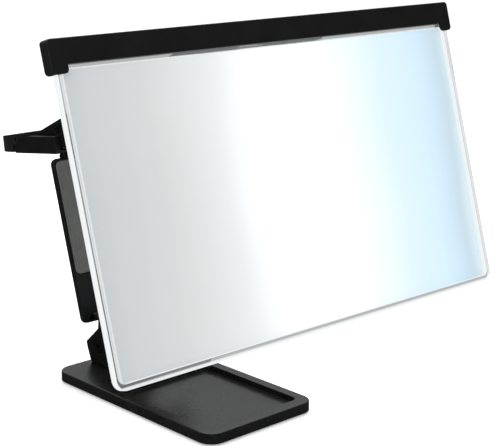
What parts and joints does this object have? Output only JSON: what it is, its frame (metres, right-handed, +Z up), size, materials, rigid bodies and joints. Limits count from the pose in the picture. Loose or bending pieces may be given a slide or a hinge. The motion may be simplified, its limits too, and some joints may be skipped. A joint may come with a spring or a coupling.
{
  "type": "low vision magnifier",
  "caption": "Large landscape Fresnel lens hung from a bar on swing arms, over a tilting phone holder on a weighted tray base.",
  "frame": {"origin": "centre of the anti-slip mat's underside, which is the face the stand rests on", "axes": "+X to the right as the user looks through the lens, +Y to the rear, +Z up"},
  "size_m": [0.271, 0.243, 0.219],
  "materials": {
    "black_plastic": "matte",
    "black_rubber": "matte",
    "grey_silicone": "matte",
    "steel": "satin",
    "friction_washer": "satin",
    "clear_rim": "gloss",
    "fresnel_sheet": "gloss"
  },
  "bodies": {
    "base": {"base_tray": "black_plastic", "base_plate": "steel", "anti_slip_mat": "black_rubber", "base_screws": "steel", "base_hinge_bracket": "black_plastic", "bracket_screws": "steel", "base_hinge_bolt": "steel", "base_hinge_nut": "steel", "base_friction_washers": "friction_washer"},
    "support": {"support_arm": "black_plastic"},
    "holder": {"holder_plate": "black_plastic", "holder_pad": "grey_silicone", "holder_back": "black_plastic", "holder_screws": "steel", "holder_hinge_bolt": "steel", "holder_hinge_nut": "steel", "holder_friction_washers": "friction_washer", "top_bracket": "black_plastic", "top_bracket_screws": "steel", "arm_pivot_shaft": "steel", "lever_pin": "steel", "lever_spring": "steel", "ledge_pin": "steel"},
    "lever": {"release_lever": "black_plastic"},
    "ledge": {"phone_ledge": "black_plastic"},
    "arms": {"lens_arm_left": "black_plastic", "lens_arm_right": "black_plastic", "arm_front_tie": "black_plastic", "arm_heel_tie": "steel"},
    "head": {"lens_bar": "black_plastic", "lens_bar_cover": "black_plastic", "bar_screws": "steel", "lens_rim": "clear_rim", "fresnel_lens": "fresnel_sheet", "lens_hinge_screws": "steel", "lens_hinge_nuts": "steel"}
  },
  "joints": [
    {"name": "base_hinge", "type": "hinge", "parent": "base", "child": "support", "pos_m": [0, 0.057, 0.018], "axis": [1, 0, 0], "range_deg": [-30, 10]},
    {"name": "holder_hinge", "type": "hinge", "parent": "support", "child": "holder", "pos_m": [0, 0.055, 0.0449], "axis": [1, 0, 0], "range_deg": [-30, 10]},
    {"name": "arm_swing", "type": "hinge", "parent": "holder", "child": "arms", "pos_m": [0, 0.08465, 0.13742], "axis": [-1, 0, 0], "range_deg": [0, 70]},
    {"name": "lens_tilt", "type": "hinge", "parent": "arms", "child": "head", "pos_m": [0, -0.06054, 0.20831], "axis": [1, 0, 0], "range_deg": [-30, 60]},
    {"name": "ledge_fold", "type": "hinge", "parent": "holder", "child": "ledge", "pos_m": [0, 0.03385, 0.04645], "axis": [-1, 0, 0], "range_deg": [0, 85]},
    {"name": "lever_press", "type": "hinge", "parent": "holder", "child": "lever", "pos_m": [0, 0.10449, 0.13719], "axis": [-1, 0, 0], "range_deg": [0, 6], "stiffness_Nm_per_rad": 0.2, "springref_deg": -5.73}
  ]
}
